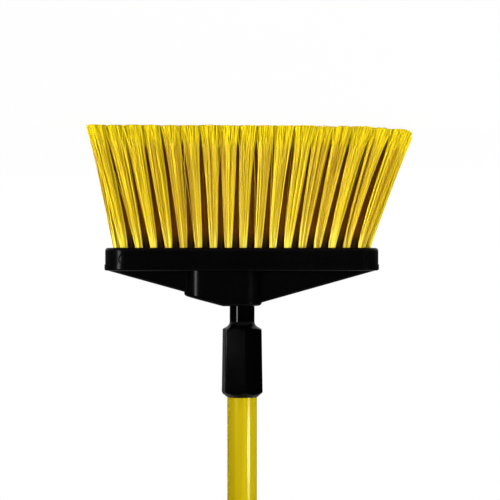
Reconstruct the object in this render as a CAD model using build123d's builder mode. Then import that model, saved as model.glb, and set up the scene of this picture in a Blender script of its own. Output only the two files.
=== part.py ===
from build123d import *
import os
from math import atan, cos, degrees, pi, radians, sin, sqrt, tan

# Upright broom, in millimetres, +Z up the handle.
# The bristle tips stand on Z = 0, the handle's axis is the Z axis and the front looks along -Y.

# Head band: the hollow moulding that holds the tuft block
BAND_LENGTH = 233.0
BAND_DEPTH = 46.0
BAND_HEIGHT = 19.4
BAND_CORNER = 20.0
BAND_WALL = 2.5
BAND_ROOF = 2.5
BAND_EDGE = 2.4
RIM_HEIGHT = 5.2
RIM_PROUD = 0.6
RIM_EDGE = 1.6
PANEL_LENGTH = 209.0
PANEL_HEIGHT = 9.1
PANEL_RECESS = 1.0
PANEL_EDGE = 0.5

# Wings: sloping web between the band and the boss, rising to a peak inside the upright socket
WING_PEAK = 1.84
WING_THICKNESS = 14.0
WING_WALL = 2.5
WING_INSET = 2.1
WING_EDGE = 2.5
WING_CORE_SHORT = 12.0

# Boss with an upright socket on the handle's axis and a leaning one beside it
BOSS_RADIUS = 16.8
BOSS_EDGE = 3.0
BOSS_CREASE = 17.0
MOUTH_RISE = 30.1
SOCKET_SPACING = 32.7
SOCKET_LEAN = 15.0
SOCKET_FLOOR_GAP = 2.0
SOCKET_LEAD = 1.2

# Handle thread, right-handed
THREAD_PITCH = 5.08
THREAD_TURNS = 3.5
THREAD_CORE_RADIUS = 8.2
THREAD_HEIGHT = 1.3
THREAD_CREST = 1.4
THREAD_ROOT = 2.2
THREAD_BURY = 0.6
THREAD_TIP = 2.6
THREAD_GAP = 0.3
GROOVE_LEAD_TURNS = 0.3
GROOVE_END_TURNS = 1.0
SHANK_LENGTH = 22.0

# Tuft block and the screws that hold it
BLOCK_GAP = 0.15
SLICE = 2.5
SCREW_STEPS = (4, 7)
SCREW_RADIUS = 1.75
SCREW_LENGTH = 18.0
SCREW_HEAD_RADIUS = 2.8
SCREW_HEAD_HEIGHT = 2.0
SCREW_RECESS = 2.2
SCREW_GAP = 0.2
SCREW_SLOT = 0.8
SCREW_PILLAR = 10.0

# Tufts, fanned and trimmed flat
BRISTLE_LENGTH = 103.0
FRONT_TUFTS = 17
ROWS = 5
TUFT_EDGE = 4.6
ROW_EDGE = 5.15
TUFT_HOLE_RADIUS = 3.0
TUFT_HOLE_DEPTH = 11.0
ROOT_GAP = 0.1
FAN_CENTRE = 8.5
FAN_LEAN_PLUS = 11.4
FAN_LEAN_MINUS = 18.9
FAN_LEAN_DEPTH = 5.0
STRAND_FOOT = 1.5
STRAND_TIP = 2.4
STRAND_FOOT_SPREAD = 1.6
STRAND_TIP_SPREAD = 4.2
SQUARE = ((-1, -1), (1, -1), (1, 1), (-1, 1))
STRAND_PLACES = ((0, 0), *SQUARE)

# Staples: flat wire anchors through the tuft roots
STAPLE_THICK = 0.5
STAPLE_WIDE = 2.0
STAPLE_LONG = 5.6
STAPLE_GAP = 0.1
STAPLE_HEIGHT = 2.5

# Ferrule: hexagonal collar, neck and thread in one moulding
SEAT_GAP = 0.1
NECK_RADIUS = 10.65
NECK_LENGTH = 16.1
NECK_FILLET = 5.0
SHOULDER_SLOPE = 30.0
COLLAR_SIDES = 6
COLLAR_RADIUS = 17.8
COLLAR_LENGTH = 61.5
COLLAR_DRAFT = 0.8
COLLAR_TURN = 23.3
COLLAR_CORNER = 1.2
COLLAR_END_SLOPE = 40.0
COLLAR_LIP = 0.6
CORE_RADIUS = 4.5
CORE_DEPTH = 32.0
SPIGOT_LENGTH = 36.0
SPIGOT_WALL = 2.6

# Handle tube, its end plug and the swivelling hang-up loop
TUBE_RADIUS = 12.7
TUBE_WALL = 0.9
TUBE_LENGTH = 1219.0
TUBE_INSERT = 50.0
TUBE_GAP = 0.1
PLUG_LENGTH = 22.0
PLUG_FLANGE = 3.0
PLUG_EDGE = 1.0
PLUG_GAP = 0.05
LOOP_SHANK_RADIUS = 4.1
LOOP_RUN_GAP = 0.08
LOOP_END_GAP = 0.3
LOOP_HEAD_RADIUS = 5.4
LOOP_HEAD_HEIGHT = 4.0
LOOP_SPLIT = 2.0
LOOP_SPLIT_DEPTH = 14.0
LOOP_COLLAR_RADIUS = 7.0
LOOP_COLLAR_HEIGHT = 3.0
LOOP_RADIUS = 12.0
LOOP_HOLE_RADIUS = 6.5
LOOP_THICKNESS = 8.0
LOOP_EDGE = 1.5

# Heights of the main faces
FACE_Z = BRISTLE_LENGTH
LEDGE_Z = FACE_Z + BAND_HEIGHT
ROOF_Z = LEDGE_Z - BAND_ROOF
MOUTH_Z = LEDGE_Z + MOUTH_RISE
NECK_Z = MOUTH_Z + SEAT_GAP
SHOULDER_Z = NECK_Z + NECK_LENGTH
COLLAR_END_Z = SHOULDER_Z + COLLAR_LENGTH
TUBE_Z = COLLAR_END_Z - TUBE_INSERT
TUBE_END_Z = TUBE_Z + TUBE_LENGTH
SLICE_Z = FACE_Z + SLICE

# Plan of the tuft block and of the staggered tuft rows on it
BLOCK_INSET = BAND_WALL + BLOCK_GAP
BLOCK_LENGTH = BAND_LENGTH - 2 * BLOCK_INSET
BLOCK_DEPTH = BAND_DEPTH - 2 * BLOCK_INSET
BLOCK_CORNER = BAND_CORNER - BLOCK_INSET
OUTER_ROW = BLOCK_DEPTH / 2 - ROW_EDGE
ROW_PITCH = 2 * OUTER_ROW / (ROWS - 1)
CORNER_REACH = OUTER_ROW - (BLOCK_DEPTH / 2 - BLOCK_CORNER)
FRONT_END = BLOCK_LENGTH / 2 - BLOCK_CORNER + sqrt((BLOCK_CORNER - TUFT_EDGE) ** 2 - CORNER_REACH**2)
TUFT_PITCH = 2 * FRONT_END / (FRONT_TUFTS - 1)
FAN_END = FRONT_END + TUFT_PITCH / 2
SCREW_PLACES = [side * step * TUFT_PITCH for step in SCREW_STEPS for side in (-1, 1)]

# Wings and boss
WING_HALF = BAND_LENGTH / 2 - WING_INSET
APEX_Z = MOUTH_Z + WING_PEAK
WING_SLOPE = degrees(atan((APEX_Z - LEDGE_Z) / WING_HALF))
BOSS_END = SOCKET_SPACING + BOSS_RADIUS
LEAN_X = (BOSS_CREASE + BOSS_END) / 2
LEAN_Z = MOUTH_Z - (LEAN_X - BOSS_CREASE) * tan(radians(SOCKET_LEAN))
LEAN_AXIS = (sin(radians(SOCKET_LEAN)), 0, cos(radians(SOCKET_LEAN)))
LEAN_MOUTH = Plane(origin=(LEAN_X, 0, LEAN_Z), x_dir=(LEAN_AXIS[2], 0, -LEAN_AXIS[0]), z_dir=LEAN_AXIS)
SOCKET_DEPTH = SHANK_LENGTH + SOCKET_FLOOR_GAP

# What fits in the tube, and the loop
SPIGOT_RADIUS = TUBE_RADIUS - TUBE_WALL - TUBE_GAP
PLUG_RADIUS = TUBE_RADIUS - TUBE_WALL - PLUG_GAP
PLUG_BORE_RADIUS = LOOP_SHANK_RADIUS + LOOP_RUN_GAP
PLUG_TOP_Z = TUBE_END_Z + PLUG_FLANGE
LOOP_Z = PLUG_TOP_Z + LOOP_END_GAP
LOOP_EYE_Z = LOOP_Z + LOOP_COLLAR_HEIGHT + LOOP_RADIUS
PLUG_BOTTOM_Z = TUBE_END_Z - PLUG_LENGTH

BASE = (Align.CENTER, Align.CENTER, Align.MIN)
os.makedirs("parts", exist_ok=True)


def band_outline(grow, mode=Mode.ADD):
    """Rounded plan of the band, grown outwards by a distance, or inwards by a negative one."""
    return RectangleRounded(BAND_LENGTH + 2 * grow, BAND_DEPTH + 2 * grow, BAND_CORNER + grow, mode=mode)


def looks_up(face):
    """Whether a face, flat or sloped, looks more upwards than sideways."""
    normal = face.normal_at()
    return normal.Z > abs(normal.X) + abs(normal.Y)


def on_band_skin(edge):
    """Whether an edge lies on the band's outer skin, straight or round the corners."""
    middle = edge.position_at(0.5)
    past_x = max(abs(middle.X) - (BAND_LENGTH / 2 - BAND_CORNER), 0)
    past_y = max(abs(middle.Y) - (BAND_DEPTH / 2 - BAND_CORNER), 0)
    return sqrt(past_x**2 + past_y**2) > BAND_CORNER - PANEL_RECESS / 2


def thread_ridge(gap, lead_turns, turns):
    """Helical ridge below a mouth at Z = 0, grown by a gap all round, begun some turns early."""
    core = THREAD_CORE_RADIUS + gap
    flank = (THREAD_ROOT - THREAD_CREST) / 2 / THREAD_HEIGHT
    crest = THREAD_CREST / 2 + gap
    buried = THREAD_ROOT / 2 + gap + THREAD_BURY * flank
    start = THREAD_TIP - SHANK_LENGTH - lead_turns * THREAD_PITCH
    with BuildPart() as ridge:
        with BuildLine() as path:
            Helix(pitch=THREAD_PITCH, height=turns * THREAD_PITCH, radius=core)
        with BuildSketch(Plane(origin=path.line @ 0, x_dir=(1, 0, 0), z_dir=path.line % 0)):
            Polygon(
                (-THREAD_BURY, -buried),
                (THREAD_HEIGHT, -crest),
                (THREAD_HEIGHT, crest),
                (-THREAD_BURY, buried),
                align=None,
            )
        sweep(path=path.line, is_frenet=True)
    return Location((0, 0, start), (0, 0, 1), -360 * lead_turns) * ridge.part


def row_tufts(row):
    """Places (x, y) on the bristle face of one row's tufts; alternate rows sit half a pitch over."""
    y = -OUTER_ROW + row * ROW_PITCH
    staggered = row % 2
    count = FRONT_TUFTS + staggered
    end = FAN_END if staggered else FRONT_END
    xs = [end * (2 * i / (count - 1) - 1) for i in range(count)]
    if row == ROWS // 2:
        xs = [x for x in xs if all(abs(x - screw) > TUFT_PITCH / 2 for screw in SCREW_PLACES)]
    return [(x, y) for x in xs]


def tuft_lean(x, y):
    """Sideways run of a tuft, in X and Y, for each millimetre that it goes down."""
    plus = x > FAN_CENTRE
    end = FAN_END if plus else -FAN_END
    lean = FAN_LEAN_PLUS if plus else -FAN_LEAN_MINUS
    across = tan(radians(lean)) * (x - FAN_CENTRE) / (end - FAN_CENTRE)
    return across, tan(radians(FAN_LEAN_DEPTH)) * y / OUTER_ROW


def tuft_plane(x, y, rise):
    """Plane square to a tuft's root, a distance up its axis from the block's face."""
    across, along = tuft_lean(x, y)
    up = Vector(-across, -along, 1).normalized()
    mouth = Vector(x - across * SLICE, y - along * SLICE, SLICE_Z)
    return Plane(origin=mouth + up * rise, x_dir=(up.Z, 0, -up.X), z_dir=up)


def root_pin(x, y, radius, top):
    """Round pin along a tuft's root, from inside the face slice up to a height in the block."""
    start = -SLICE / 2
    return tuft_plane(x, y, start) * Cylinder(radius, top - start, align=BASE)


def staple_bar(x, y, gap):
    """Flat anchor across a tuft's root, grown by a gap for its slot."""
    long = STAPLE_LONG if gap == 0 else 2 * TUFT_HOLE_RADIUS
    bar = Box(STAPLE_THICK + 2 * gap, long, STAPLE_WIDE + 2 * gap)
    return tuft_plane(x, y, TUFT_HOLE_DEPTH - STAPLE_HEIGHT - STAPLE_WIDE / 2) * bar


def strand(x, y, place):
    """One four-sided strand of a tuft, from inside the face slice to the trimmed tip at Z = 0."""
    across, along = tuft_lean(x, y)
    foot_z = FACE_Z + SLICE / 2
    foot = Vector(
        x - across * SLICE / 2 + place[0] * STRAND_FOOT_SPREAD,
        y - along * SLICE / 2 + place[1] * STRAND_FOOT_SPREAD,
        foot_z,
    )
    tip = Vector(
        x + across * FACE_Z + place[0] * STRAND_TIP_SPREAD,
        y + along * FACE_Z + place[1] * STRAND_TIP_SPREAD,
        0,
    )
    ends = []
    for centre, side in ((foot, STRAND_FOOT), (tip, STRAND_TIP)):
        ends.append([centre + Vector(a * side / 2, b * side / 2, 0) for a, b in SQUARE])
    sides = [[ends[0][i - 1], ends[0][i], ends[1][i], ends[1][i - 1]] for i in range(len(SQUARE))]
    return Solid(Shell([Face(Wire.make_polygon(corners)) for corners in ends + sides]))


TUFTS = [row_tufts(row) for row in range(ROWS)]
ALL_TUFTS = [place for row in TUFTS for place in row]

# Recessed panel on both long faces of the band, as one cutter
with BuildPart() as panel_cutter:
    with BuildSketch(Plane.XY.offset(LEDGE_Z - RIM_HEIGHT - PANEL_HEIGHT)):
        band_outline(RIM_PROUD)
        band_outline(-PANEL_RECESS, mode=Mode.SUBTRACT)
    extrude(amount=PANEL_HEIGHT)
    with BuildSketch(Plane.XZ):
        with Locations((0, LEDGE_Z - RIM_HEIGHT - PANEL_HEIGHT / 2)):
            SlotOverall(PANEL_LENGTH, PANEL_HEIGHT)
    extrude(amount=BAND_DEPTH, both=True, mode=Mode.INTERSECT)

# Wing web with rounded sloping edges
with BuildPart() as wing_form:
    with BuildSketch(Plane.XZ):
        Polygon(
            (-WING_HALF, ROOF_Z),
            (WING_HALF, ROOF_Z),
            (WING_HALF, LEDGE_Z),
            (0, APEX_Z),
            (-WING_HALF, LEDGE_Z),
            align=None,
        )
    extrude(amount=WING_THICKNESS / 2, both=True)
    slopes = wing_form.faces().filter_by(looks_up)
    fillet(slopes.edges().filter_by(lambda edge: edge.length > WING_HALF / 2), WING_EDGE)

# Hollow of the wing web, broken by pillars for the screws and by the boss
with BuildPart() as wing_core:
    core_half = WING_HALF - WING_CORE_SHORT
    core_drop = WING_WALL / cos(radians(WING_SLOPE))
    core_rise = core_half * tan(radians(WING_SLOPE))
    with BuildSketch(Plane.XZ):
        Polygon(
            (-core_half, ROOF_Z - BLOCK_GAP),
            (core_half, ROOF_Z - BLOCK_GAP),
            (core_half, APEX_Z - core_drop - core_rise),
            (0, APEX_Z - core_drop),
            (-core_half, APEX_Z - core_drop - core_rise),
            align=None,
        )
    extrude(amount=WING_THICKNESS / 2 - WING_WALL, both=True)
    with BuildSketch(Plane.XY.offset(FACE_Z)):
        with Locations(*[(x, 0) for x in SCREW_PLACES]):
            Rectangle(SCREW_PILLAR, WING_THICKNESS)
        with Locations((SOCKET_SPACING / 2, 0)):
            SlotCenterToCenter(SOCKET_SPACING, 2 * BOSS_RADIUS)
    extrude(amount=APEX_Z - FACE_Z, mode=Mode.SUBTRACT)

# Boss with its flat mouth face and its sloped mouth face
with BuildPart() as boss_form:
    with BuildSketch(Plane.XY.offset(ROOF_Z)):
        with Locations((SOCKET_SPACING / 2, 0)):
            SlotCenterToCenter(SOCKET_SPACING, 2 * BOSS_RADIUS)
    extrude(amount=MOUTH_Z - ROOF_Z)
    slope_run = 2 * (BOSS_END - BOSS_CREASE)
    with BuildSketch(Plane.XZ):
        Polygon(
            (BOSS_CREASE, MOUTH_Z),
            (BOSS_CREASE + slope_run, MOUTH_Z),
            (BOSS_CREASE + slope_run, MOUTH_Z - slope_run * tan(radians(SOCKET_LEAN))),
            align=None,
        )
    extrude(amount=2 * BOSS_RADIUS, both=True, mode=Mode.SUBTRACT)
    mouths = boss_form.faces().filter_by(looks_up)
    crease = mouths.edges().filter_by(Axis.Y)
    fillet([edge for edge in mouths.edges() if edge not in crease], BOSS_EDGE)

# Socket cutter: bore, thread groove and a lead-in at the mouth, with the mouth at Z = 0
groove_turns = GROOVE_LEAD_TURNS + (SHANK_LENGTH - THREAD_TIP) / THREAD_PITCH + GROOVE_END_TURNS
groove = thread_ridge(THREAD_GAP, GROOVE_LEAD_TURNS, groove_turns)
with BuildPart() as socket_cutter:
    with Locations((0, 0, -SOCKET_DEPTH)):
        Cylinder(THREAD_CORE_RADIUS + THREAD_GAP, SOCKET_DEPTH + THREAD_PITCH, align=BASE)
    add(groove)
    with Locations((0, 0, -SOCKET_LEAD)):
        Cone(
            THREAD_CORE_RADIUS + THREAD_GAP,
            THREAD_CORE_RADIUS + THREAD_GAP + THREAD_HEIGHT + SOCKET_LEAD,
            THREAD_HEIGHT + SOCKET_LEAD,
            align=BASE,
        )
upright_cut = Pos(0, 0, MOUTH_Z) * socket_cutter.part
leaning_cut = LEAN_MOUTH * socket_cutter.part

# Head shell
with BuildPart() as head_shell:
    with BuildSketch(Plane.XY.offset(FACE_Z)):
        band_outline(0)
    extrude(amount=BAND_HEIGHT)
    fillet(head_shell.faces().sort_by(Axis.Z)[0].edges(), BAND_EDGE)
    add(panel_cutter.part, mode=Mode.SUBTRACT)
    fillet(head_shell.edges(Select.LAST).filter_by(on_band_skin), PANEL_EDGE)
    with BuildSketch(Plane.XY.offset(LEDGE_Z - RIM_HEIGHT)):
        band_outline(RIM_PROUD)
    extrude(amount=RIM_HEIGHT)
    fillet(head_shell.faces().sort_by(Axis.Z)[-1].edges(), RIM_EDGE)
    add([wing_form.part, boss_form.part])
    with BuildSketch(Plane.XY.offset(FACE_Z)):
        band_outline(-BAND_WALL)
    extrude(amount=ROOF_Z - FACE_Z, mode=Mode.SUBTRACT)
    add(wing_core.part, mode=Mode.SUBTRACT)
    add(upright_cut, mode=Mode.SUBTRACT)
    add(leaning_cut, mode=Mode.SUBTRACT)
    pilot_depth = SLICE_Z + SCREW_RECESS + SCREW_LENGTH + SCREW_GAP - ROOF_Z
    with Locations(*[(x, 0, ROOF_Z) for x in SCREW_PLACES]):
        Cylinder(SCREW_RADIUS, pilot_depth, align=BASE, mode=Mode.SUBTRACT)
head_shell.part.label = "head_shell"
export_step(head_shell.part, "parts/head_shell.step")

# Tuft block, drilled on the fan's angles
tuft_holes = [root_pin(x, y, TUFT_HOLE_RADIUS, TUFT_HOLE_DEPTH) for x, y in ALL_TUFTS]
with BuildPart() as tuft_block:
    with BuildSketch(Plane.XY.offset(SLICE_Z)):
        band_outline(-BLOCK_INSET)
    extrude(amount=ROOF_Z - SLICE_Z)
    add(tuft_holes, mode=Mode.SUBTRACT)
    with Locations(*[(x, 0, SLICE_Z) for x in SCREW_PLACES]):
        Cylinder(SCREW_HEAD_RADIUS + SCREW_GAP, SCREW_RECESS, align=BASE, mode=Mode.SUBTRACT)
        Cylinder(SCREW_RADIUS + SCREW_GAP, ROOF_Z - SLICE_Z, align=BASE, mode=Mode.SUBTRACT)
tuft_block.part.label = "tuft_block"
export_step(tuft_block.part, "parts/tuft_block.step")

# Tuft rows: a slice of the face with the roots above it and the strands below
for row, places in enumerate(TUFTS):
    roots = [root_pin(x, y, TUFT_HOLE_RADIUS - ROOT_GAP, TUFT_HOLE_DEPTH - ROOT_GAP) for x, y in places]
    slots = [staple_bar(x, y, STAPLE_GAP) for x, y in places]
    strands = [strand(x, y, place) for x, y in places for place in STRAND_PLACES]
    low = -BLOCK_DEPTH / 2 if row == 0 else -OUTER_ROW + (row - 0.5) * ROW_PITCH
    high = BLOCK_DEPTH / 2 if row == ROWS - 1 else -OUTER_ROW + (row + 0.5) * ROW_PITCH
    with BuildPart() as tuft_row:
        with BuildSketch(Plane.XY.offset(FACE_Z)):
            band_outline(-BLOCK_INSET)
            with Locations((0, (low + high) / 2)):
                Rectangle(BLOCK_LENGTH, high - low, mode=Mode.INTERSECT)
        extrude(amount=SLICE)
        add(roots + strands)
        add(slots, mode=Mode.SUBTRACT)
        if row == ROWS // 2:
            with Locations(*[(x, 0, FACE_Z) for x in SCREW_PLACES]):
                Cylinder(SCREW_HEAD_RADIUS + SCREW_GAP, SLICE, align=BASE, mode=Mode.SUBTRACT)
    name = f"tuft_row_{row + 1}"
    tuft_row.part.label = name
    export_step(tuft_row.part, f"parts/{name}.step")

# Staples, one through each root
staple_bars = [staple_bar(x, y, 0) for x, y in ALL_TUFTS]
with BuildPart() as tuft_staples:
    add(staple_bars)
tuft_staples.part.label = "tuft_staples"
export_step(tuft_staples.part, "parts/tuft_staples.step")

# Screws, heads towards the bristles
with BuildPart() as block_screws:
    seat_z = SLICE_Z + SCREW_RECESS
    with Locations(*[(x, 0, seat_z) for x in SCREW_PLACES]):
        Cylinder(SCREW_RADIUS, SCREW_LENGTH, align=BASE)
    with Locations(*[(x, 0, seat_z - SCREW_HEAD_HEIGHT) for x in SCREW_PLACES]):
        Cylinder(SCREW_HEAD_RADIUS, SCREW_HEAD_HEIGHT, align=BASE)
        for width, length in ((SCREW_SLOT, SCREW_HEAD_RADIUS), (SCREW_HEAD_RADIUS, SCREW_SLOT)):
            Box(width, length, SCREW_HEAD_HEIGHT / 2, align=BASE, mode=Mode.SUBTRACT)
block_screws.part.label = "block_screws"
export_step(block_screws.part, "parts/block_screws.step")

# Ferrule
ridge_male = Pos(0, 0, MOUTH_Z) * thread_ridge(0, 0, THREAD_TURNS)
shoulder_run = 2 * COLLAR_RADIUS - NECK_RADIUS
end_run = COLLAR_RADIUS
with BuildPart() as threaded_ferrule:
    with BuildSketch(Plane.XY.offset(SHOULDER_Z)):
        RegularPolygon(COLLAR_RADIUS, COLLAR_SIDES, rotation=COLLAR_TURN)
    extrude(amount=COLLAR_LENGTH, taper=-COLLAR_DRAFT)
    corners = threaded_ferrule.edges().group_by(Axis.Z)[1]
    fillet(corners, COLLAR_CORNER)
    with BuildSketch(Plane.XZ):
        lip = TUBE_RADIUS + COLLAR_LIP
        Polygon(
            (0, SHOULDER_Z),
            (NECK_RADIUS, SHOULDER_Z),
            (NECK_RADIUS + shoulder_run, SHOULDER_Z + shoulder_run * tan(radians(SHOULDER_SLOPE))),
            (NECK_RADIUS + shoulder_run, COLLAR_END_Z - end_run * tan(radians(COLLAR_END_SLOPE))),
            (lip + end_run, COLLAR_END_Z - end_run * tan(radians(COLLAR_END_SLOPE))),
            (lip, COLLAR_END_Z),
            (0, COLLAR_END_Z),
            align=None,
        )
    revolve(axis=Axis.Z, mode=Mode.INTERSECT)
    with BuildSketch(Plane.XZ) as neck_profile:
        flare = COLLAR_RADIUS * cos(pi / COLLAR_SIDES) - COLLAR_CORNER
        flare_z = SHOULDER_Z + (flare - NECK_RADIUS) * tan(radians(SHOULDER_SLOPE))
        Polygon(
            (0, NECK_Z),
            (NECK_RADIUS, NECK_Z),
            (NECK_RADIUS, SHOULDER_Z),
            (flare, flare_z),
            (0, flare_z),
            align=None,
        )
        knee = neck_profile.vertices().sort_by_distance((NECK_RADIUS, SHOULDER_Z, 0))[0]
        fillet(knee, NECK_FILLET)
    revolve(axis=Axis.Z)
    with Locations((0, 0, MOUTH_Z - SHANK_LENGTH)):
        Cylinder(THREAD_CORE_RADIUS, SHANK_LENGTH + NECK_LENGTH, align=BASE)
    add(ridge_male)
    with Locations((0, 0, TUBE_Z)):
        Cylinder(TUBE_RADIUS + TUBE_GAP, TUBE_INSERT, align=BASE, mode=Mode.SUBTRACT)
        Cylinder(SPIGOT_RADIUS, SPIGOT_LENGTH, align=BASE)
        Cylinder(SPIGOT_RADIUS - SPIGOT_WALL, SPIGOT_LENGTH, align=BASE, mode=Mode.SUBTRACT)
    with Locations((0, 0, MOUTH_Z - SHANK_LENGTH)):
        Cylinder(CORE_RADIUS, CORE_DEPTH, align=BASE, mode=Mode.SUBTRACT)
threaded_ferrule.part.label = "threaded_ferrule"
export_step(threaded_ferrule.part, "parts/threaded_ferrule.step")

# Handle tube
with BuildPart() as handle_tube:
    with BuildSketch(Plane.XY.offset(TUBE_Z)):
        Circle(TUBE_RADIUS)
        Circle(TUBE_RADIUS - TUBE_WALL, mode=Mode.SUBTRACT)
    extrude(amount=TUBE_LENGTH)
handle_tube.part.label = "handle_tube"
export_step(handle_tube.part, "parts/handle_tube.step")

# End plug
with BuildPart() as end_plug:
    with Locations((0, 0, PLUG_BOTTOM_Z)):
        Cylinder(PLUG_RADIUS, PLUG_LENGTH, align=BASE)
    with Locations((0, 0, TUBE_END_Z)):
        Cylinder(TUBE_RADIUS, PLUG_FLANGE, align=BASE)
    fillet(end_plug.faces().sort_by(Axis.Z)[-1].edges(), PLUG_EDGE)
    with Locations((0, 0, PLUG_BOTTOM_Z)):
        Cylinder(PLUG_BORE_RADIUS, PLUG_LENGTH + PLUG_FLANGE, align=BASE, mode=Mode.SUBTRACT)
end_plug.part.label = "end_plug"
export_step(end_plug.part, "parts/end_plug.step")

# Hang-up loop: split snap head and shank in the plug, thrust collar and eye above it
with BuildPart() as hang_loop:
    head_z = PLUG_BOTTOM_Z - LOOP_END_GAP
    with Locations((0, 0, head_z - LOOP_HEAD_HEIGHT)):
        Cone(LOOP_SHANK_RADIUS, LOOP_HEAD_RADIUS, LOOP_HEAD_HEIGHT, align=BASE)
    with Locations((0, 0, head_z)):
        Cylinder(LOOP_SHANK_RADIUS, LOOP_Z - head_z + LOOP_COLLAR_HEIGHT, align=BASE)
    with Locations((0, 0, LOOP_Z)):
        Cylinder(LOOP_COLLAR_RADIUS, LOOP_COLLAR_HEIGHT, align=BASE)
    with BuildSketch(Plane.XZ):
        with Locations((0, LOOP_EYE_Z)):
            Circle(LOOP_RADIUS)
        with Locations((0, LOOP_Z + LOOP_COLLAR_HEIGHT / 2)):
            Rectangle(2 * LOOP_SHANK_RADIUS, LOOP_RADIUS, align=(Align.CENTER, Align.MIN))
        with Locations((0, LOOP_EYE_Z)):
            Circle(LOOP_HOLE_RADIUS, mode=Mode.SUBTRACT)
    extrude(amount=LOOP_THICKNESS / 2, both=True)
    round_edges = hang_loop.edges().filter_by(GeomType.CIRCLE)
    fillet(round_edges.filter_by(lambda edge: edge.radius > LOOP_COLLAR_RADIUS), LOOP_EDGE)
    with Locations((0, 0, head_z - LOOP_HEAD_HEIGHT)):
        split_length = 2 * (LOOP_HEAD_RADIUS + LOOP_SPLIT)
        Box(LOOP_SPLIT, split_length, LOOP_SPLIT_DEPTH, align=BASE, mode=Mode.SUBTRACT)
hang_loop.part.label = "hang_loop"
export_step(hang_loop.part, "parts/hang_loop.step")
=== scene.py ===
"""Upright broom: fanned yellow filaments, moulded black plastic and a coated tube, in a plain pale studio."""

import logging
import math
from dataclasses import dataclass, field
from enum import Enum
from typing import Any, Mapping, Optional, Sequence, Union

import bpy
import numpy as np
from mathutils import Matrix, Vector
from mathutils.geometry import tessellate_polygon


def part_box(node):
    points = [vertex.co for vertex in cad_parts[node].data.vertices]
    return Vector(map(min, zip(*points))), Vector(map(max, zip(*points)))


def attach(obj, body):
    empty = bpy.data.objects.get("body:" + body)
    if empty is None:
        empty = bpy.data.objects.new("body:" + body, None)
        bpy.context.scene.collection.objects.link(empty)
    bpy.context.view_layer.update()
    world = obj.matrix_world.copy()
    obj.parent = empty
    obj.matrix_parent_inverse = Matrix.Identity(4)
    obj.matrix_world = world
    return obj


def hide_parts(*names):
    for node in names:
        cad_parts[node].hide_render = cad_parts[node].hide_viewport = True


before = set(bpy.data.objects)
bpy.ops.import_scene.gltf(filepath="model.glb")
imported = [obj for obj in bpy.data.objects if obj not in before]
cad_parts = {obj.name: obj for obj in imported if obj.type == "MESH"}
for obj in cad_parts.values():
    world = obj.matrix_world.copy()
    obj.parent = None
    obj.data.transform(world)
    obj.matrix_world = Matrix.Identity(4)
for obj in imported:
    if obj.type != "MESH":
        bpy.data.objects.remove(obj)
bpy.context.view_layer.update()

Colour = tuple[float, float, float]
Span = tuple[float, float]
Output = Union[int, str]
Operand = Union["Wire", float]
Paint = Union["Wire", Colour]

LOG = logging.getLogger("broom")
MM = 0.001
SEED = 20
GOLDEN_ANGLE = math.pi * (3 - math.sqrt(5))
NOISE_MEAN = 0.5
WHITE: Colour = (1.0, 1.0, 1.0)
UP = Vector((0, 0, 1))


class Body(Enum):
    """Bodies of the part that pieces ride on."""

    HEAD = "head"
    HANDLE = "handle"


class Slot(Enum):
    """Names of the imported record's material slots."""

    BLOCK = "block_plastic"
    BRISTLE = "bristle"
    COAT = "handle_coat"


class Trait(Enum):
    """Values that a filament mesh holds at its points, for its finish to read."""

    ALONG = "along"
    OWN_SHADE = "own_shade"
    # How deep a filament stands in the fan, which its finish paints as shade.
    INSIDE = "inside"


class LampShape(Enum):
    """Outlines of a lamp's face."""

    PANEL = "RECTANGLE"
    DISH = "ELLIPSE"


class Wire:
    """A node's output that takes part in arithmetic: each operation adds a Math node."""

    def __init__(self, graph: "FinishGraph", node: bpy.types.Node, output: Output) -> None:
        """Stands for one output of a node.

        Args:
            graph: The graph that the node is in.
            node: The node.
            output: The output's name or number.
        """
        self.graph = graph
        self.node = node
        self.output = output

    @property
    def socket(self) -> bpy.types.NodeSocket:
        """The socket that the wire leaves by."""
        return self.node.outputs[self.output]

    def beside(self, output: Output) -> "Wire":
        """Another output of the same node."""
        return Wire(self.graph, self.node, output)

    def _math(self, operation: str, first: Operand, second: Operand) -> "Wire":
        """A Math node on two values."""
        return self.graph.node("ShaderNodeMath", {"operation": operation}, {0: first, 1: second})

    def __add__(self, other: Operand) -> "Wire":
        """This value plus another."""
        return self._math("ADD", self, other)

    __radd__ = __add__

    def __sub__(self, other: Operand) -> "Wire":
        """This value less another."""
        return self._math("SUBTRACT", self, other)

    def __rsub__(self, other: Operand) -> "Wire":
        """Another value less this one."""
        return self._math("SUBTRACT", other, self)

    def __mul__(self, other: Operand) -> "Wire":
        """This value times another."""
        return self._math("MULTIPLY", self, other)

    __rmul__ = __mul__

    def most(self, other: Operand) -> "Wire":
        """The larger of this value and another."""
        return self._math("MAXIMUM", self, other)

    def ramp(self, low: float, high: float) -> "Wire":
        """This value as a smooth step from 0 at low to 1 at high."""
        steps = {"Value": self, "From Min": low, "From Max": high}
        return self.graph.node("ShaderNodeMapRange", {"interpolation_type": "SMOOTHSTEP"}, steps)


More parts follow.
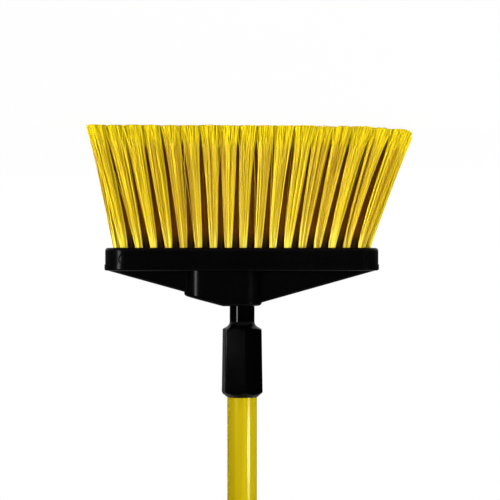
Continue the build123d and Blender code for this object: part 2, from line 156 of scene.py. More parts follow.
class FinishGraph:
    """The node tree of one material or of the world."""

    def __init__(self, tree: bpy.types.NodeTree) -> None:
        """Empties a tree, ready for new nodes."""
        self.tree = tree
        self.tree.nodes.clear()

    def node(
        self,
        kind: str,
        settings: Optional[Mapping[str, Any]] = None,
        inputs: Optional[Mapping[Output, Any]] = None,
        output: Output = 0,
    ) -> Wire:
        """Adds one node.

        Args:
            kind: The node's type.
            settings: Its own properties, which are set first.
            inputs: Values or wires for its sockets, by name or number.
            output: The output that the wire stands for.

        Returns:
            The wire of that output.
        """
        made = self.tree.nodes.new(kind)
        for name, value in (settings or {}).items():
            setattr(made, name, value)
        for key, value in (inputs or {}).items():
            if isinstance(value, Wire):
                self.tree.links.new(value.socket, made.inputs[key])
            else:
                made.inputs[key].default_value = value
        return Wire(self, made, output)

    def blend(self, share: Operand, first: Paint, second: Paint) -> Wire:
        """A colour that goes from the first to the second as the share goes from 0 to 1."""
        sockets = {0: share, 6: rgba(first), 7: rgba(second)}
        return self.node("ShaderNodeMix", {"data_type": "RGBA"}, sockets, 2)

    def place(self) -> Wire:
        """Object coordinates, in metres."""
        return self.node("ShaderNodeTexCoord", output="Object")

    def drawn_out(self, along: float) -> Wire:
        """Object coordinates, squeezed in Z so that a pattern on them is drawn out along the handle."""
        sockets = {0: self.place(), 1: (1.0, 1.0, along)}
        return self.node("ShaderNodeVectorMath", {"operation": "MULTIPLY"}, sockets)

    def noise(self, vector: Wire, grain: float, detail: float = 2.0) -> Wire:
        """A noise value, about NOISE_MEAN on average, with bumps of a size in metres."""
        sockets = {"Vector": vector, "Scale": 1 / grain, "Detail": detail}
        return self.node("ShaderNodeTexNoise", inputs=sockets)

    def bump(self, height: Operand, distance: float) -> Wire:
        """A normal that is tilted by a height, which counts for a distance in metres."""
        return self.node("ShaderNodeBump", inputs={"Height": height, "Distance": distance})

    def trait(self, trait: Trait) -> Wire:
        """A value that the mesh holds at its points."""
        return self.node("ShaderNodeAttribute", {"attribute_name": trait.value}, output="Fac")


def rgba(colour: Paint) -> Any:
    """A colour with full alpha, or the wire of one as it is."""
    return colour if isinstance(colour, Wire) else (*colour, 1.0)


def grey(level: float) -> Colour:
    """A colour of three equal parts."""
    return level, level, level


def new_graph(name: str) -> tuple[bpy.types.Material, FinishGraph]:
    """Starts a finish.

    Args:
        name: The material's name.

    Returns:
        The new material and its emptied graph.
    """
    material = bpy.data.materials.new(name)
    material.use_nodes = True
    return material, FinishGraph(material.node_tree)


def shade(graph: FinishGraph, sockets: Mapping[str, Any]) -> None:
    """Ends a graph in one Principled shader with these sockets."""
    skin = graph.node("ShaderNodeBsdfPrincipled", inputs=sockets)
    graph.node("ShaderNodeOutputMaterial", inputs={"Surface": skin})


@dataclass(frozen=True)
class MouldedPlastic:
    """Black moulded plastic with a fine grain, paler rubbed edges and uneven gloss."""

    name: str
    colour: Colour
    rubbed: Colour
    roughness: float
    shine: float
    grain: float
    grain_height: float
    grain_gloss: float = 0.4
    cloud: float = 40 * MM
    cloud_span: Span = (0.35, 0.75)
    cloud_share: float = 0.4
    cloud_gloss: float = 0.8
    edge_span: Span = (0.53, 0.62)
    scuff: float = 3 * MM
    scuff_span: Span = (0.40, 0.65)
    scuff_share: float = 0.6

    def material(self) -> bpy.types.Material:
        """Builds the finish.

        Returns:
            The material.
        """
        material, graph = new_graph(self.name)
        place = graph.place()
        cloud = graph.noise(place, self.cloud, detail=3.0)
        fine = graph.noise(place, self.grain)
        edge = graph.node("ShaderNodeNewGeometry", output="Pointiness").ramp(*self.edge_span)
        scuffed = edge * graph.noise(place, self.scuff, detail=4.0).ramp(*self.scuff_span)
        worn = cloud.ramp(*self.cloud_span) * self.cloud_share + scuffed * self.scuff_share
        uneven = (cloud - NOISE_MEAN) * self.cloud_gloss + (fine - NOISE_MEAN) * self.grain_gloss
        shade(
            graph,
            {
                "Base Color": graph.blend(worn, self.colour, self.rubbed),
                "Roughness": self.roughness * (1.0 + uneven),
                "Specular IOR Level": self.shine,
                "Normal": graph.bump(fine, self.grain_height),
            },
        )
        return material


@dataclass(frozen=True)
class TubeCoat:
    """Glossy yellow coat on a tube, with long drawn streaks and a faint orange-peel surface."""

    name: str
    colour: Colour
    streak: Colour
    pale: Colour
    glint: Colour
    roughness: float
    shine: float
    draw: float = 0.012
    wide: float = 7 * MM
    wide_span: Span = (0.42, 0.68)
    wide_share: float = 0.75
    thin: float = 1.6 * MM
    thin_span: Span = (0.52, 0.75)
    thin_share: float = 0.45
    patch: float = 60 * MM
    patch_gloss: float = 0.12
    peel: float = 1.4 * MM
    peel_height: float = 0.02 * MM

    def material(self) -> bpy.types.Material:
        """Builds the finish.

        Returns:
            The material.
        """
        material, graph = new_graph(self.name)
        lengthwise = graph.drawn_out(self.draw)
        wide = graph.noise(lengthwise, self.wide)
        thin = graph.noise(lengthwise, self.thin, detail=3.0)
        place = graph.place()
        peel = graph.noise(place, self.peel, detail=1.0)
        patch = graph.noise(place, self.patch, detail=3.0)
        streaked = graph.blend(wide.ramp(*self.wide_span) * self.wide_share, self.colour, self.streak)
        shade(
            graph,
            {
                "Base Color": graph.blend(thin.ramp(*self.thin_span) * self.thin_share, streaked, self.pale),
                "Roughness": self.roughness + (patch - NOISE_MEAN) * self.patch_gloss,
                "Specular IOR Level": self.shine,
                "Specular Tint": rgba(self.glint),
                "Normal": graph.bump(peel, self.peel_height),
            },
        )
        return material


@dataclass(frozen=True)
class FilamentPolymer:
    """Drawn yellow filament, each a little different, with a paler root as painted sheen, a brighter tip as
    painted light and painted shade deep inside the fan.
    """

    name: str
    # Painted light along the filament: root is paler than middle as painted sheen, and tip is brighter than
    # middle.
    root: Colour
    middle: Colour
    tip: Colour
    deep: Colour
    # Painted shade for filaments deep in the fan: nearly black at the root as painted shadow under the head,
    # brown higher up.
    root_painted_shadow: Colour
    inner: Colour
    roughness: float
    shine: float
    painted_sheen_span: Span = (0.0, 0.30)
    tip_span: Span = (0.74, 1.0)
    tip_evenness: float = 0.85
    painted_shadow_span: Span = (0.03, 0.18)
    painted_shade_clear_span: Span = (0.76, 0.97)

    def material(self) -> bpy.types.Material:
        """Builds the finish.

        Returns:
            The material.
        """
        material, graph = new_graph(self.name)
        along = graph.trait(Trait.ALONG)
        near_tip = along.ramp(*self.tip_span)
        # Painted light along the filament: a paler root as painted sheen, a brighter tip.
        low = graph.blend(along.ramp(*self.painted_sheen_span), self.root, self.middle)
        whole = graph.blend(near_tip, low, self.tip)
        own = graph.trait(Trait.OWN_SHADE) * (1.0 - near_tip * self.tip_evenness)
        varied = graph.blend(own, whole, self.deep)
        # Painted shade deep inside the fan, darkest at the roots as painted shadow, fading out towards the
        # tips.
        painted_shade_colour = graph.blend(along.ramp(*self.painted_shadow_span), self.root_painted_shadow, self.inner)
        painted_shade_share = graph.trait(Trait.INSIDE) * (1.0 - along.ramp(*self.painted_shade_clear_span))
        shade(
            graph,
            {
                "Base Color": graph.blend(painted_shade_share, varied, painted_shade_colour),
                "Roughness": self.roughness,
                "Specular IOR Level": self.shine,
            },
        )
        return material


@dataclass(frozen=True)
class PlatedSteel:
    """Plated steel with fine drawing lines along one axis."""

    name: str
    colour: Colour
    roughness: float
    draw: float = 0.05
    line: float = 0.3 * MM
    line_gloss: float = 0.2
    line_height: float = 0.01 * MM
    cloud: float = 5 * MM
    dulled: float = 0.7

    def material(self) -> bpy.types.Material:
        """Builds the finish.

        Returns:
            The material.
        """
        material, graph = new_graph(self.name)
        lines = graph.noise(graph.drawn_out(self.draw), self.line)
        cloud = graph.noise(graph.place(), self.cloud)
        dull = tuple(self.dulled * part for part in self.colour)
        shade(
            graph,
            {
                "Base Color": graph.blend(cloud, self.colour, dull),
                "Metallic": 1.0,
                "Roughness": self.roughness + (lines - NOISE_MEAN) * self.line_gloss,
                "Normal": graph.bump(lines, self.line_height),
            },
        )
        return material


HEAD_PLASTIC = MouldedPlastic(
    name="head_black",
    colour=grey(0.0004),
    rubbed=grey(0.001),
    roughness=0.24,
    shine=0.042,
    grain=0.5 * MM,
    grain_height=0.010 * MM,
)
BLOCK_PLASTIC = MouldedPlastic(
    name="block_black",
    colour=(0.004, 0.0037, 0.003),
    rubbed=grey(0.008),
    roughness=0.6,
    shine=0.1,
    grain=0.4 * MM,
    grain_height=0.02 * MM,
)
FERRULE_PLASTIC = MouldedPlastic(
    name="ferrule_black",
    colour=grey(0.0004),
    rubbed=grey(0.001),
    roughness=0.085,
    shine=0.045,
    grain=0.6 * MM,
    grain_height=0.003 * MM,
)
CAP_PLASTIC = MouldedPlastic(
    name="cap_black",
    colour=grey(0.001),
    rubbed=grey(0.004),
    roughness=0.30,
    shine=0.20,
    grain=0.6 * MM,
    grain_height=0.010 * MM,
)
YELLOW_COAT = TubeCoat(
    name="yellow_coat",
    colour=(0.40, 0.304, 0.0029),
    streak=(0.32, 0.229, 0.0023),
    pale=(0.435, 0.348, 0.007),
    glint=(0.92, 1.0, 0.62),
    roughness=0.09,
    shine=0.4,
)
YELLOW_FILAMENT = FilamentPolymer(
    name="yellow_filament",
    # root's paleness is painted sheen and tip's extra brightness is painted light.
    root=(0.96, 0.84, 0.062),
    middle=(0.82, 0.62, 0.006),
    tip=(0.93, 0.745, 0.007),
    deep=(0.49, 0.285, 0.003),
    # The next two colours are painted shade deep in the fan, darkest at the root.
    root_painted_shadow=(0.030, 0.008, 0.0015),
    inner=(0.32, 0.100, 0.006),
    roughness=0.32,
    shine=0.23,
)
STAPLE_WIRE = PlatedSteel(name="staple_wire", colour=(0.62, 0.61, 0.58), roughness=0.35)
SCREW_ZINC = PlatedSteel(name="screw_zinc", colour=(0.60, 0.61, 0.63), roughness=0.30)


def put(name: str, data: bpy.types.ID) -> bpy.types.Object:
    """Puts an object in the scene.

    Args:
        name: Its name.
        data: Its mesh, lamp or camera.

    Returns:
        The object.
    """
    made = bpy.data.objects.new(name, data)
    bpy.context.scene.collection.objects.link(made)
    return made


def dress(node: str, material: bpy.types.Material) -> None:
    """Gives a CAD node its finish and reports it.

    Args:
        node: The node's name.
        material: Its finish.
    """
    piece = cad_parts[node]
    piece.data.materials.clear()
    piece.data.materials.append(material)
    LOG.info("dressed %s in %s", node, material.name)


def add_piece(mesh: bpy.types.Mesh, material: bpy.types.Material, body: Body, node: str) -> None:
    """Puts a mesh in the scene as a piece that rides on a body and stands for a CAD node.

    Args:
        mesh: The finished mesh, in the part's frame.
        material: Its finish.
        body: The body that carries it.
        node: The CAD node that it replaces.
    """
    mesh.materials.append(material)
    piece = put(mesh.name, mesh)
    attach(piece, body.value)
    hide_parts(node)
    LOG.info("made %s: %d faces, for %s", piece.name, len(mesh.polygons), node)


def nearest(centres: np.ndarray, places: np.ndarray) -> np.ndarray:
    """The number of the centre that is nearest to each place."""
    return ((places[:, None] - centres[None]) ** 2).sum(2).argmin(1)


def mesh_from_quads(name: str, points: np.ndarray, faces: np.ndarray) -> bpy.types.Mesh:
    """A smooth-shaded mesh of four-sided faces.

    Args:
        name: The mesh's name.
        points: Corners, one row each.
        faces: Four corner numbers in each row.

    Returns:
        The mesh.
    """
    made = bpy.data.meshes.new(name)
    made.vertices.add(len(points))
    made.vertices.foreach_set("co", points.astype(np.float32).ravel())
    made.loops.add(faces.size)
    made.loops.foreach_set("vertex_index", faces.astype(np.int32).ravel())
    made.polygons.add(len(faces))
    made.polygons.foreach_set("loop_start", np.arange(0, faces.size, 4, dtype=np.int32))
    made.update(calc_edges=True)
    made.validate()
    made.shade_smooth()
    return made


@dataclass
class TuftPlan:
    """Where the tufts stand on the block's face and how they fan out, all in metres."""

    front_tufts: int = 17
    rows: int = 5
    tuft_edge: float = 4.6 * MM
    row_edge: float = 5.15 * MM
    corner: float = 17.35 * MM
    screw_steps: tuple[int, ...] = (4, 7)
    fan_centre: float = 8.5 * MM
    front_short: Span = (0.0, 5.5 * MM)
    inside_depth: float = 5.9 * MM
    tip_half_width: float = 7.9 * MM
    tip_half_depth: float = 5.8 * MM
    # These are worked out from the frame.
    face_z: float = field(init=False)
    strip_depth: float = field(init=False)
    half_length: float = field(init=False)
    half_depth: float = field(init=False)
    outer_row: float = field(init=False)
    row_pitch: float = field(init=False)
    front_end: float = field(init=False)
    pitch: float = field(init=False)
    fan_end: float = field(init=False)
    reach_plus: float = field(init=False)
    reach_minus: float = field(init=False)
    reach_depth: float = field(init=False)

    def __post_init__(self) -> None:
        """Works out the rows and the fan's reach from the block, the head and the rows in the frame."""
        low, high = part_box("tuft_block")
        fan_low, fan_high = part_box("tuft_row_2")
        front_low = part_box("tuft_row_1")[0]
        self.face_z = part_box("head_shell")[0].z
        self.strip_depth = low.z - self.face_z
        self.half_length = (high.x - low.x) / 2
        self.half_depth = (high.y - low.y) / 2
        self.outer_row = self.half_depth - self.row_edge
        self.row_pitch = 2 * self.outer_row / (self.rows - 1)
        past_corner = self.outer_row - (self.half_depth - self.corner)
        in_corner = math.sqrt((self.corner - self.tuft_edge) ** 2 - past_corner**2)
        self.front_end = self.half_length - self.corner + in_corner
        self.pitch = 2 * self.front_end / (self.front_tufts - 1)
        self.fan_end = self.front_end + self.pitch / 2
        self.reach_plus = fan_high.x - self.tip_half_width
        self.reach_minus = fan_low.x + self.tip_half_width
        self.reach_depth = -front_low.y - self.tip_half_depth

    @property
    def tip_half(self) -> np.ndarray:
        """Half the width and half the depth of a tuft at its tips."""
        return np.array((self.tip_half_width, self.tip_half_depth))

    def row_y(self, row: int) -> float:
        """A row's place across the face, where row 0 is the front one."""
        return -self.outer_row + row * self.row_pitch

    def tufts(self, row: int) -> list[tuple[float, float]]:
        """Places on the face of one row's tufts; alternate rows sit half a pitch over.

        Args:
            row: The row's number, from 0 at the front.

        Returns:
            The places, as x and y.
        """
        staggered = row % 2
        count = self.front_tufts + staggered
        end = self.fan_end if staggered else self.front_end
        xs = [end * (2 * i / (count - 1) - 1) for i in range(count)]
        if row == self.rows // 2:
            screws = [side * step * self.pitch for step in self.screw_steps for side in (-1, 1)]
            xs = [x for x in xs if all(abs(x - screw) > self.pitch / 2 for screw in screws)]
        return [(x, self.row_y(row)) for x in xs]

    def at_end(self, x: float) -> bool:
        """Whether a tuft is the last of its row."""
        return abs(x) > self.front_end - self.pitch / 4

    def lean(self, row: int, x: float, y: float) -> tuple[float, float]:
        """How far a tuft runs sideways, in x and y, on its way from the face to the floor.

        Args:
            row: The row's number, from 0 at the front.
            x: The tuft's place along the face.
            y: The tuft's place across the face.

        Returns:
            The two runs.
        """
        end, (short_plus, short_minus) = self.front_end, self.front_short
        if row % 2:
            end, short_plus, short_minus = self.fan_end, 0.0, 0.0
        if x > self.fan_centre:
            reach = self.reach_plus - short_plus
        else:
            end, reach = -end, self.reach_minus + short_minus
        across = (reach - end) * (x - self.fan_centre) / (end - self.fan_centre)
        depth = (self.reach_depth - self.outer_row) * y / self.outer_row
        return across, depth

    def edge_x(self, y: float) -> float:
        """Half the block's length at a place across it, which shrinks round the corners.

        Args:
            y: The place across the face.

        Returns:
            The half length.
        """
        past = abs(y) - (self.half_depth - self.corner)
        if past <= 0:
            return self.half_length
        return self.half_length - self.corner + math.sqrt(max(self.corner**2 - past**2, 0.0))

    def inside(self, x: np.ndarray, y: np.ndarray) -> np.ndarray:
        """How deep in the fan filaments are, as a smooth step.

        Args:
            x: Their places along the face.
            y: Their places across the face.

        Returns:
            0 at the outline of the rows, up to 1 in the middle.
        """
        deep = np.minimum(self.fan_end - np.abs(x), self.outer_row - np.abs(y))
        share = np.clip(deep / self.inside_depth, 0, 1)
        return share**2 * (3 - 2 * share)

    def band(self, row: int) -> tuple[float, float]:
        """The strip of face that one row is set in.

        Args:
            row: The row's number, from 0 at the front.

        Returns:
            Its lowest and highest y.
        """
        middle = self.row_y(row)
        low = -self.half_depth if row == 0 else middle - self.row_pitch / 2
        high = self.half_depth if row == self.rows - 1 else middle + self.row_pitch / 2
        return low, high


@dataclass
class BristleFan:
    """The filaments of all the tufts, one mesh for each row."""

    plan: TuftPlan
    # Filaments, each thicker at its tip by the flag's share.
    per_tuft: int = 180
    radius: float = 0.22 * MM
    flag: float = 1.2
    flag_power: float = 12.0
    sides: int = 4
    stations: tuple[float, ...] = (0.0, 0.07, 0.17, 0.36, 0.59, 0.82, 1.0)
    # A tuft's way from its hole: it springs out at the face, then swells to its tips and leans.
    sunk: float = 1.6 * MM
    hole_radius: float = 2.75 * MM
    spring: float = 0.26
    spring_start: float = 0.05
    swells: tuple[float, ...] = (0.97, 0.92, 0.45, 0.92, 0.97)
    flare: float = 1.08
    depth_flare: float = 1.3
    # Filaments are drawn to their clump at the tip and midway, and to their strand midway.
    clumps: int = 6
    clump_spread: float = 0.55
    pull: float = 0.10
    mid_pull: float = 0.11
    strands: int = 44
    strand_pull: float = 0.70
    # Disorder: strays, shifted tips, frayed ends and bowed filaments.
    stray_share: float = 0.02
    stray_reach: float = 1.5
    tuft_sway: float = 0.6 * MM
    filament_sway: float = 0.3 * MM
    splay: float = 1.9 * MM
    splay_power: float = 7.0
    end_splay: float = 0.35
    depth_share: float = 0.5
    bow: float = 0.25 * MM
    # The trim: domed tufts, uneven ends, a rise to one end of the fan and a radius at both.
    trim_wave: float = 0.75 * MM
    trim_scatter: float = 0.35 * MM
    corner_rise: float = 3.0 * MM
    corner_start: float = 0.55
    corner_round: float = 5.0 * MM
    # Shades: the mean, and how much strands, filaments and tufts differ.
    mean_shade: float = 0.29
    strand_shade: float = 0.55
    filament_shade: float = 0.15
    tuft_shade: float = 0.06
    # The flat map: cells in a row, and where a filament's sides and its tip lie in a cell.
    map_columns: int = 240
    map_wall: Span = (0.04, 0.88)
    map_tip: tuple[Span, Span] = ((0.3, 0.91), (0.7, 0.97))

    def paths(self, row: int) -> tuple[np.ndarray, np.ndarray]:
        """Centrelines of one row's filaments.

        Args:
            row: The row's number, from 0 at the front.

        Returns:
            Points, filaments by rings by 3, and each filament's own shade and depth in the fan, from 0 to 1.
        """
        draw = np.random.default_rng(SEED + row)
        tufts = [self._tuft(draw, row, x, y) for x, y in self.plan.tufts(row)]
        return np.concatenate([path for path, _ in tufts]), np.concatenate([shades for _, shades in tufts])

    def _tuft(self, draw: np.random.Generator, row: int, x: float, y: float) -> tuple[np.ndarray, np.ndarray]:
        """Centrelines of one tuft's filaments, packed in a disc at the root and clumped at the tip.

        Args:
            draw: The row's random numbers.
            row: The row's number, from 0 at the front.
            x: The tuft's place along the face.
            y: The tuft's place across the face.

        Returns:
            Points, filaments by rings by 3, and each filament's own shade and depth in the fan, from 0 to 1.
        """
        at_end = self.plan.at_end(x)
        disc, gathered = self._packing(draw)
        tip = self._tips(draw, disc, gathered, at_end)
        across, depth = self.plan.lean(row, x, y)
        z = self._heights(draw, disc, x + across + tip[:, 0])
        cores = disc[draw.choice(self.per_tuft, self.strands, replace=False)]
        strand = nearest(cores, disc)
        drawn_in = self.strand_pull * (cores[strand] - disc)
        drawn_in += 0.0 if at_end else self.mid_pull * gathered
        bowed = draw.normal(0, self.bow, disc.shape) + self.plan.tip_half * drawn_in
        splayed = draw.normal(0, self.splay, disc.shape)
        splayed *= (self.end_splay if at_end else 1.0, self.depth_share)
        # The drop goes from 0 at the block's face to 1 at the floor.
        drop = np.clip(1 - z / self.plan.face_z, 0, 1)
        grown = drop ** self.swells[row]
        sprung = 1 + self.spring * (1 - np.exp(-drop / self.spring_start)) * (1 - drop)
        midway = np.sin(math.pi * np.array(self.stations))
        packed = self.hole_radius * disc
        places = []
        for axis, (start, run, flare) in enumerate(((x, across, self.flare), (y, depth, self.depth_flare))):
            root = packed[:, axis, None]
            offset = root * sprung + (tip[:, axis, None] - root) * grown
            loose = bowed[:, axis, None] * midway + splayed[:, axis, None] * drop**self.splay_power
            places.append(start + run * drop**flare + offset + loose)
        inside = self.plan.inside(x + packed[:, 0], y + packed[:, 1])
        return np.stack([*places, z], 2), np.stack([self._shades(draw, strand), inside], 1)

    def _packing(self, draw: np.random.Generator) -> tuple[np.ndarray, np.ndarray]:
        """Packs a tuft's filaments evenly in a disc of radius 1.

        Args:
            draw: The row's random numbers.

        Returns:
            Each filament's place in the disc, and the way from there to the middle of its clump.
        """
        steps = np.arange(self.per_tuft)
        turn = steps * GOLDEN_ANGLE + draw.uniform(0, 2 * math.pi)
        out = np.sqrt((steps + 0.5) / self.per_tuft)
        disc = np.stack([out * np.cos(turn), out * np.sin(turn)], 1)
        centres = draw.normal(0, self.clump_spread, (self.clumps, 2))
        return disc, centres[nearest(centres, disc)] - disc

    def _tips(
        self, draw: np.random.Generator, disc: np.ndarray, gathered: np.ndarray, at_end: bool
    ) -> np.ndarray:
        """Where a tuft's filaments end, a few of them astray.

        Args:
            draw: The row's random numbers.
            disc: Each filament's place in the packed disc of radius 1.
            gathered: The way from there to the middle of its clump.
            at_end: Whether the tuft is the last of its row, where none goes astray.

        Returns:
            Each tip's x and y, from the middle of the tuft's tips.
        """
        stray = draw.random(self.per_tuft) < (0.0 if at_end else self.stray_share)
        spread = np.where(stray[:, None], self.stray_reach * disc, disc + self.pull * gathered)
        sway = draw.normal(0, self.tuft_sway, 2) * (1, self.depth_share)
        return spread * self.plan.tip_half + sway + draw.normal(0, self.filament_sway, disc.shape)

    def _heights(self, draw: np.random.Generator, disc: np.ndarray, end: np.ndarray) -> np.ndarray:
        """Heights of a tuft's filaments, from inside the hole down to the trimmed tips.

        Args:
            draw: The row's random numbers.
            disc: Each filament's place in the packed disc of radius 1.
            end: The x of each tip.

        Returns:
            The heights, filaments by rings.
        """
        crown = abs(draw.normal(0, self.trim_wave)) * np.square(disc).sum(1)
        tip_z = crown + self._trim(end) + np.abs(draw.normal(0, self.trim_scatter, self.per_tuft))
        root_z = self.plan.face_z + self.sunk
        return root_z + np.array(self.stations) * (tip_z[:, None] - root_z)

    def _trim(self, x: np.ndarray) -> np.ndarray:
        """Height of the trimmed tips, which rises to one end of the fan and is rounded off at both.

        Args:
            x: Places of tips along the fan.

        Returns:
            Their heights.
        """
        share = np.clip(x / self.plan.reach_minus - self.corner_start, 0, None) / (1 - self.corner_start)
        half = self.plan.tip_half_width
        past_plus = x - (self.plan.reach_plus + half - self.corner_round)
        past_minus = (self.plan.reach_minus - half + self.corner_round) - x
        past = np.clip(np.maximum(past_plus, past_minus) / self.corner_round, 0, 1)
        return self.corner_rise * share**2 + self.corner_round * (1 - np.sqrt(1 - past**2))

    def _shades(self, draw: np.random.Generator, strand: np.ndarray) -> np.ndarray:
        """How dark a tuft's filaments are: partly by strand, partly each by itself and partly by tuft.

        Args:
            draw: The row's random numbers.
            strand: The number of each filament's strand.

        Returns:
            Each filament's own shade, from 0 to 1.
        """
        shared = draw.normal(self.mean_shade, self.strand_shade, self.strands)[strand]
        own = draw.normal(0, self.filament_shade, self.per_tuft)
        return np.clip(shared + own + draw.normal(0, self.tuft_shade), 0, 1)

    def mesh(self, row: int) -> bpy.types.Mesh:
        """Thin closed prisms along one row's centrelines, with their place along and their shade.

        Args:
            row: The row's number, from 0 at the front.

        Returns:
            The mesh.
        """
        paths, shades = self.paths(row)
        stations = np.array(self.stations)
        count, rings, sides = len(paths), len(stations), self.sides
        angle = (np.arange(sides) + 0.5) * 2 * math.pi / sides
        ring = np.stack([np.cos(angle), np.sin(angle), np.zeros(sides)], 1)
        radii = self.radius * (1 + self.flag * stations**self.flag_power)
        points = paths[:, :, None, :] + radii[None, :, None, None] * ring[None, None]
        corner = np.arange(count * rings * sides).reshape(count, rings, sides)
        after = np.roll(corner, -1, 2)
        walls = np.stack([corner[:, :-1], corner[:, 1:], after[:, 1:], after[:, :-1]], -1)
        tips = corner[:, -1, ::-1]
        faces = np.concatenate([walls.reshape(-1, 4), tips.reshape(-1, 4)])
        made = mesh_from_quads(f"filaments_row_{row + 1}", points.reshape(-1, 3), faces)
        along = np.broadcast_to(stations[None, :, None], corner.shape)
        own, inside = (np.broadcast_to(column[:, None, None], corner.shape) for column in shades.T)
        for trait, values in ((Trait.ALONG, along), (Trait.OWN_SHADE, own), (Trait.INSIDE, inside)):
            layer = made.attributes.new(trait.value, "FLOAT", "POINT")
            layer.data.foreach_set("value", values.astype(np.float32).ravel())
        made.uv_layers.new(name="OFBake").data.foreach_set("uv", self._map(count).ravel())
        return made

    def _map(self, count: int) -> np.ndarray:
        """A flat map with one upright cell for each filament: its sides next to each other, then its tip.

        Args:
            count: The number of filaments.

        Returns:
            The place on the map of each face's corners, in the order of the mesh's faces.
        """
        rings, sides, columns = len(self.stations), self.sides, self.map_columns
        size = np.array([columns, math.ceil(count / columns)])
        cell = np.stack([np.arange(count) % columns, np.arange(count) // columns], 1)
        across = (np.arange(sides + 1) + 0.5) / (sides + 1)
        up = np.linspace(*self.map_wall, rings)
        walls = np.empty((rings - 1, sides, 4, 2))
        for corner, (step_u, step_v) in enumerate(((0, 0), (0, 1), (1, 1), (1, 0))):
            walls[:, :, corner, 0] = across[None, step_u : sides + step_u]
            walls[:, :, corner, 1] = up[step_v : rings - 1 + step_v, None]
        (left, low), (right, high) = self.map_tip
        tip = np.array([(left, low), (left, high), (right, high), (right, low)])
        wall_uv = (cell[:, None, None, None] + walls[None]) / size
        tip_uv = (cell[:, None] + tip[None]) / size
        return np.concatenate([wall_uv.reshape(-1, 2), tip_uv.reshape(-1, 2)]).astype(np.float32)

    def build(self) -> None:
        """Makes and dresses every row."""
        finish = YELLOW_FILAMENT.material()
        for row in range(self.plan.rows):
            add_piece(self.mesh(row), finish, Body.HEAD, f"tuft_row_{row + 1}")


@dataclass
class Plate:
    """A flat plate with holes, put together from rings of points."""

    points: list[tuple[float, float, float]] = field(default_factory=list)
    faces: list[tuple[int, ...]] = field(default_factory=list)

    def ring(self, flat: Sequence[Vector], z: float) -> list[int]:
        """Adds a ring of points.

        Args:
            flat: The points, seen from above.
            z: Their height.

        Returns:
            Their numbers.
        """
        start = len(self.points)
        self.points.extend((spot.x, spot.y, z) for spot in flat)
        return list(range(start, len(self.points)))

    def wall(self, lower: Sequence[int], upper: Sequence[int], inward: bool = False) -> None:
        """Joins two rings with four-sided faces.

        Args:
            lower: Numbers of the lower ring's points.
            upper: Numbers of the upper ring's points.
            inward: Whether the wall faces the middle, as a hole's does.
        """
        for i in range(len(lower)):
            side = (lower[i - 1], lower[i], upper[i], upper[i - 1])
            self.faces.append(side[::-1] if inward else side)

    def cap(self, flats: Sequence[Sequence[Vector]], rings: Sequence[Sequence[int]], down: bool) -> None:
        """Fills one face of the plate, from its outline to its holes.

        Args:
            flats: Points of the outline and then of each hole, seen from above.
            rings: The numbers of those points.
            down: Whether the face looks down.
        """
        spots = [spot for flat in flats for spot in flat]
        numbers = [number for ring in rings for number in ring]
        for a, b, c in tessellate_polygon(flats):
            turn = (spots[b] - spots[a]).cross(spots[c] - spots[a]).z
            triangle = (numbers[a], numbers[b], numbers[c])
            self.faces.append(triangle if (turn < 0) == down else triangle[::-1])

    def mesh(self, name: str) -> bpy.types.Mesh:
        """Ends the plate.

        Args:
            name: The mesh's name.

        Returns:
            The mesh.
        """
        made = bpy.data.meshes.new(name)
        made.from_pydata(self.points, [], self.faces)
        made.validate()
        return made


@dataclass
class BlockFace:
    """The drilled face of the tuft block, in one strip for each row, with a bevel round every tuft hole."""

    plan: TuftPlan
    hole_radius: float = 3.0 * MM
    bevel: float = 0.5 * MM
    hole_steps: int = 28
    corner_steps: int = 10

    def outline(self, row: int) -> list[Vector]:
        """The strip's outline, counter-clockwise seen from above.

        Args:
            row: The row's number, from 0 at the front.

        Returns:
            Its points, at height 0.
        """
        low, high = self.plan.band(row)
        ys = np.linspace(low, high, self.corner_steps + 1)
        right = [Vector((self.plan.edge_x(y), y, 0)) for y in ys]
        left = [Vector((-self.plan.edge_x(y), y, 0)) for y in ys[::-1]]
        return right + left

    def circle(self, x: float, y: float, radius: float) -> list[Vector]:
        """Points round a tuft's place, counter-clockwise seen from above, at height 0."""
        turns = [2 * math.pi * i / self.hole_steps for i in range(self.hole_steps)]
        return [Vector((x + radius * math.cos(a), y + radius * math.sin(a), 0)) for a in turns]

    def mesh(self, row: int) -> bpy.types.Mesh:
        """The strip as a closed plate: outer wall, bevelled holes, and a face below and above.

        Args:
            row: The row's number, from 0 at the front.

        Returns:
            The mesh.
        """
        plate = Plate()
        outer = self.outline(row)
        bottom, top = self.plan.face_z, self.plan.face_z + self.plan.strip_depth
        flat_below, flat_above = [outer], [outer]
        below, above = [plate.ring(outer, bottom)], [plate.ring(outer, top)]
        plate.wall(below[0], above[0])
        for x, y in self.plan.tufts(row):
            rim = self.circle(x, y, self.hole_radius + self.bevel)
            bore = self.circle(x, y, self.hole_radius)
            flat_below.append(rim)
            flat_above.append(bore)
            below.append(plate.ring(rim, bottom))
            throat = plate.ring(bore, bottom + self.bevel)
            above.append(plate.ring(bore, top))
            plate.wall(below[-1], throat, inward=True)
            plate.wall(throat, above[-1], inward=True)
        plate.cap(flat_below, below, down=True)
        plate.cap(flat_above, above, down=False)
        return plate.mesh(f"face_row_{row + 1}")

    def build(self) -> None:
        """Makes and dresses every strip."""
        finish = BLOCK_PLASTIC.material()
        dress("tuft_block", finish)
        for row in range(self.plan.rows):
            add_piece(self.mesh(row), finish, Body.HEAD, f"tuft_row_{row + 1}")


@dataclass
class Head:
    """The moulded head with its hidden screws and staples."""

    def build(self) -> None:
        """Dresses the head's own nodes."""
        dress("head_shell", HEAD_PLASTIC.material())
        dress("block_screws", SCREW_ZINC.material())
        dress("tuft_staples", STAPLE_WIRE.material())


